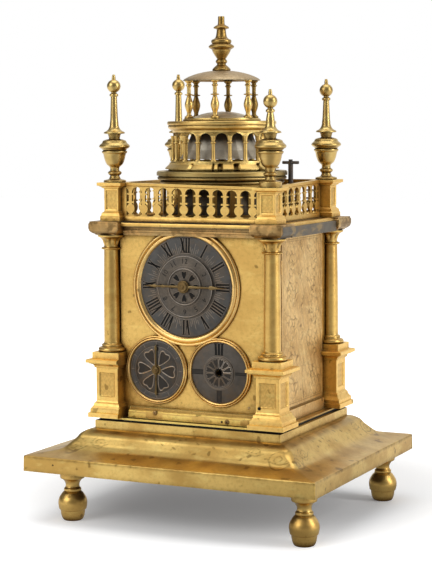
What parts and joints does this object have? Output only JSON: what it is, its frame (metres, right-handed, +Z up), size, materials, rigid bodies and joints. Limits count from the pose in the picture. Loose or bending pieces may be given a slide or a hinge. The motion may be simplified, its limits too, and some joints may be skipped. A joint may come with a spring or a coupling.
{
  "type": "tower table clock",
  "caption": "Free-standing gilt metal clock in the shape of a small square tower, with dials on the front, an arcaded bell drum, finials and hinged side doors.",
  "frame": {"origin": "on the surface that the feet stand on, at the middle of the rectangular base", "axes": "+Z up, front with the dials at -Y, right side at +X"},
  "size_m": [0.2, 0.171, 0.3191],
  "materials": {
    "foot_front_left": "fire gilt, worn",
    "foot_front_right": "fire gilt, worn",
    "foot_back_right": "fire gilt, worn",
    "foot_back_left": "fire gilt, worn",
    "base_board": "dark stained wood",
    "base_moulding": "fire gilt, worn",
    "pedestal_front_left": "fire gilt, worn",
    "pedestal_front_right": "fire gilt, worn",
    "pedestal_back_right": "fire gilt, worn",
    "pedestal_back_left": "fire gilt, worn",
    "column_front_left": "fire gilt, worn",
    "column_front_right": "fire gilt, worn",
    "column_back_right": "fire gilt, worn",
    "column_back_left": "fire gilt, worn",
    "front_plate": "fire gilt, worn",
    "back_plate": "fire gilt, worn",
    "entablature": "worn gilt, dull",
    "roof_plate": "worn gilt, dull",
    "attic_post_front_left": "fire gilt, worn",
    "attic_post_front_right": "fire gilt, worn",
    "attic_post_back_right": "fire gilt, worn",
    "attic_post_back_left": "fire gilt, worn",
    "finial_front_left": "fire gilt, worn",
    "finial_front_right": "fire gilt, worn",
    "finial_back_right": "fire gilt, worn",
    "finial_back_left": "fire gilt, worn",
    "balustrade_front": "fire gilt, worn",
    "balustrade_right": "fire gilt, worn",
    "balustrade_back": "fire gilt, worn",
    "balustrade_left": "fire gilt, worn",
    "lower_drum": "fire gilt, worn",
    "upper_drum": "fire gilt, worn",
    "drum_dome": "fire gilt, worn",
    "lantern": "fire gilt, worn",
    "top_finial": "fire gilt, worn",
    "hour_bell": "grey bell metal, satin",
    "alarm_bell": "grey bell metal, satin",
    "main_bezel": "polished, warm gilt",
    "left_bezel": "polished, warm gilt",
    "right_bezel": "polished, warm gilt",
    "hour_dial": "dark silvered, engraved, dull",
    "left_dial": "dark silvered, engraved, dull",
    "right_dial": "dark silvered, engraved, dull",
    "movement_frame": "worn gilt, dull",
    "door_left": "worn gilt, dull",
    "door_right": "worn gilt, dull",
    "hour_hand": "fire gilt, worn",
    "hour_wheel": "fire gilt, worn",
    "alarm_disc": "dark silvered, engraved, dull",
    "left_hand": "fire gilt, worn",
    "locking_bolt": "dark wrought iron",
    "barrel": "fire gilt, worn",
    "fusee": "fire gilt, worn",
    "second_wheel": "fire gilt, worn",
    "third_wheel": "fire gilt, worn",
    "crown_wheel": "fire gilt, worn",
    "balance": "filed steel",
    "strike_barrel": "fire gilt, worn",
    "strike_fly": "fire gilt, worn",
    "hour_hammer": "filed steel"
  },
  "bodies": {
    "case": {"foot_front_left": "foot_front_left", "foot_front_right": "foot_front_right", "foot_back_right": "foot_back_right", "foot_back_left": "foot_back_left", "base_board": "base_board", "base_moulding": "base_moulding", "pedestal_front_left": "pedestal_front_left", "pedestal_front_right": "pedestal_front_right", "pedestal_back_right": "pedestal_back_right", "pedestal_back_left": "pedestal_back_left", "column_front_left": "column_front_left", "column_front_right": "column_front_right", "column_back_right": "column_back_right", "column_back_left": "column_back_left", "front_plate": "front_plate", "back_plate": "back_plate", "entablature": "entablature", "roof_plate": "roof_plate", "attic_post_front_left": "attic_post_front_left", "attic_post_front_right": "attic_post_front_right", "attic_post_back_right": "attic_post_back_right", "attic_post_back_left": "attic_post_back_left", "finial_front_left": "finial_front_left", "finial_front_right": "finial_front_right", "finial_back_right": "finial_back_right", "finial_back_left": "finial_back_left", "balustrade_front": "balustrade_front", "balustrade_right": "balustrade_right", "balustrade_back": "balustrade_back", "balustrade_left": "balustrade_left", "lower_drum": "lower_drum", "upper_drum": "upper_drum", "drum_dome": "drum_dome", "lantern": "lantern", "top_finial": "top_finial", "hour_bell": "hour_bell", "alarm_bell": "alarm_bell", "main_bezel": "main_bezel", "left_bezel": "left_bezel", "right_bezel": "right_bezel", "hour_dial": "hour_dial", "left_dial": "left_dial", "right_dial": "right_dial", "movement_frame": "movement_frame"},
    "door_left": {"door_left": "door_left"},
    "door_right": {"door_right": "door_right"},
    "hour_hand": {"hour_hand": "hour_hand", "hour_wheel": "hour_wheel"},
    "alarm_disc": {"alarm_disc": "alarm_disc"},
    "left_hand": {"left_hand": "left_hand"},
    "locking_bolt": {"locking_bolt": "locking_bolt"},
    "barrel": {"barrel": "barrel"},
    "fusee": {"fusee": "fusee"},
    "second_wheel": {"second_wheel": "second_wheel"},
    "third_wheel": {"third_wheel": "third_wheel"},
    "crown_wheel": {"crown_wheel": "crown_wheel"},
    "balance": {"balance": "balance"},
    "strike_barrel": {"strike_barrel": "strike_barrel"},
    "strike_fly": {"strike_fly": "strike_fly"},
    "hour_hammer": {"hour_hammer": "hour_hammer"}
  },
  "joints": [
    {"name": "door_left_hinge", "type": "hinge", "parent": "case", "child": "door_left", "pos_m": [-0.0554, -0.0324, 0.0652], "axis": [0, 0, 1], "range_deg": [0, 90]},
    {"name": "door_right_hinge", "type": "hinge", "parent": "case", "child": "door_right", "pos_m": [0.0554, -0.0324, 0.0652], "axis": [0, 0, 1], "range_deg": [-90, 0]},
    {"name": "hour_hand_turn", "type": "hinge", "parent": "case", "child": "hour_hand", "pos_m": [-0.0031, -0.0468, 0.1501], "axis": [0, 1, 0], "continuous": true},
    {"name": "alarm_disc_turn", "type": "hinge", "parent": "case", "child": "alarm_disc", "pos_m": [-0.0031, -0.0468, 0.1501], "axis": [0, 1, 0], "continuous": true},
    {"name": "left_hand_turn", "type": "hinge", "parent": "case", "child": "left_hand", "pos_m": [-0.0242, -0.0468, 0.0964], "axis": [0, 1, 0], "continuous": true},
    {"name": "locking_bolt_turn", "type": "hinge", "parent": "case", "child": "locking_bolt", "pos_m": [0.0439, 0.0095, 0.1868], "axis": [0, 0, 1], "range_deg": [0, 90]},
    {"name": "barrel_turn", "type": "hinge", "parent": "case", "child": "barrel", "pos_m": [-0.027, -0.0245, 0.1], "axis": [0, 1, 0], "continuous": true},
    {"name": "fusee_turn", "type": "hinge", "parent": "case", "child": "fusee", "pos_m": [0.015, -0.0245, 0.1], "axis": [0, 1, 0], "continuous": true},
    {"name": "second_wheel_turn", "type": "hinge", "parent": "case", "child": "second_wheel", "pos_m": [0.00143, -0.029, 0.12351], "axis": [0, 1, 0], "continuous": true},
    {"name": "third_wheel_turn", "type": "hinge", "parent": "case", "child": "third_wheel", "pos_m": [0.012, -0.019, 0.14043], "axis": [0, 1, 0], "continuous": true},
    {"name": "crown_wheel_turn", "type": "hinge", "parent": "case", "child": "crown_wheel", "pos_m": [0.00082, -0.015, 0.15473], "axis": [0, 1, 0], "continuous": true},
    {"name": "balance_swing", "type": "hinge", "parent": "case", "child": "balance", "pos_m": [0.00082, -0.0081, 0.1769], "axis": [0, 0, 1], "range_deg": [-100, 100]},
    {"name": "strike_barrel_turn", "type": "hinge", "parent": "case", "child": "strike_barrel", "pos_m": [0, 0.006, 0.1], "axis": [0, 1, 0], "continuous": true},
    {"name": "strike_fly_turn", "type": "hinge", "parent": "case", "child": "strike_fly", "pos_m": [0.02278, 0.006, 0.11211], "axis": [0, 1, 0], "continuous": true},
    {"name": "hour_hammer_swing", "type": "hinge", "parent": "case", "child": "hour_hammer", "pos_m": [0.005, 0.022, 0.1769], "axis": [0, 0, 1], "range_deg": [0, 25]}
  ],
  "couplings": [
    {"joint": "second_wheel_turn", "follows": "third_wheel_turn", "ratio": -0.11111},
    {"joint": "fusee_turn", "follows": "third_wheel_turn", "ratio": 0.013889},
    {"joint": "barrel_turn", "follows": "third_wheel_turn", "ratio": 0.01},
    {"joint": "hour_hand_turn", "follows": "third_wheel_turn", "ratio": 0.0092593},
    {"joint": "crown_wheel_turn", "follows": "third_wheel_turn", "ratio": -9},
    {"joint": "strike_fly_turn", "follows": "strike_barrel_turn", "ratio": -8}
  ]
}
